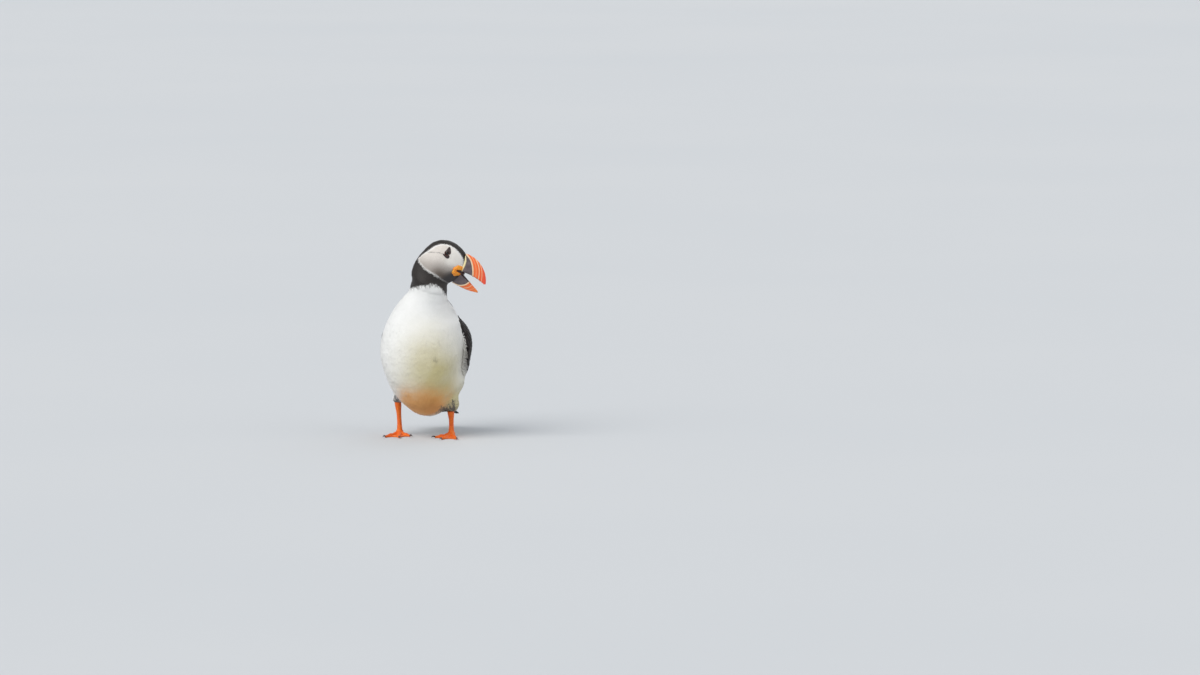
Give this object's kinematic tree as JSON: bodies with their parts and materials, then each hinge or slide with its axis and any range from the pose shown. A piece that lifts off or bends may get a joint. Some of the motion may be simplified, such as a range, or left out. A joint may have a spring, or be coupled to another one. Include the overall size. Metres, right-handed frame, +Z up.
{
  "type": "atlantic puffin",
  "caption": "Life-size still model of an Atlantic puffin standing upright on both webbed feet, wings folded, head turned to its left with the bill open.",
  "frame": {"origin": "on the floor, under the middle of the bird's bounding box", "axes": "+Z up; the trunk faces -Y; the bird's left side is at +X, where the bill also points"},
  "size_m": [0.1286, 0.1456, 0.2285],
  "materials": {
    "white_plumage": "silky white breast and belly feathers",
    "black_plumage": "glossy black back, wing, collar and tail feathers",
    "face_plumage": "short velvety pale grey face feathers",
    "bill_orange": "satin orange-red horn with pale grooves",
    "bill_slate": "satin blue-grey horn",
    "bill_cream": "pale yellow horny skin",
    "rosette_flesh": "folded orange-yellow bare skin",
    "mouth_flesh": "moist mouth lining and tongue",
    "leg_skin": "orange-red scaly skin and webs",
    "claw_horn": "dark satin horn",
    "eye": "glossy dark brown eye"
  },
  "bodies": {
    "root": {"head": "face_plumage", "neck": "black_plumage", "trunk": "white_plumage", "rump": "white_plumage", "cere": "bill_cream", "bill_upper_plate": "bill_slate", "bill_upper_tip": "bill_orange", "bill_lower_plate": "bill_slate", "bill_lower_tip": "bill_orange", "tongue": "mouth_flesh", "eye_left": "eye", "eye_plate_upper_left": "bill_slate", "eye_plate_lower_left": "bill_slate", "rosette_left": "rosette_flesh", "eye_right": "eye", "eye_plate_upper_right": "bill_slate", "eye_plate_lower_right": "bill_slate", "rosette_right": "rosette_flesh", "tail": "black_plumage", "wing_left": "black_plumage", "primaries_left": "black_plumage", "wing_right": "black_plumage", "primaries_right": "black_plumage", "thigh_left": "white_plumage", "tarsus_left": "leg_skin", "foot_left": "leg_skin", "claw_inner_left": "claw_horn", "claw_middle_left": "claw_horn", "claw_outer_left": "claw_horn", "thigh_right": "white_plumage", "tarsus_right": "leg_skin", "foot_right": "leg_skin", "claw_inner_right": "claw_horn", "claw_middle_right": "claw_horn", "claw_outer_right": "claw_horn"}
  },
  "joints": []
}
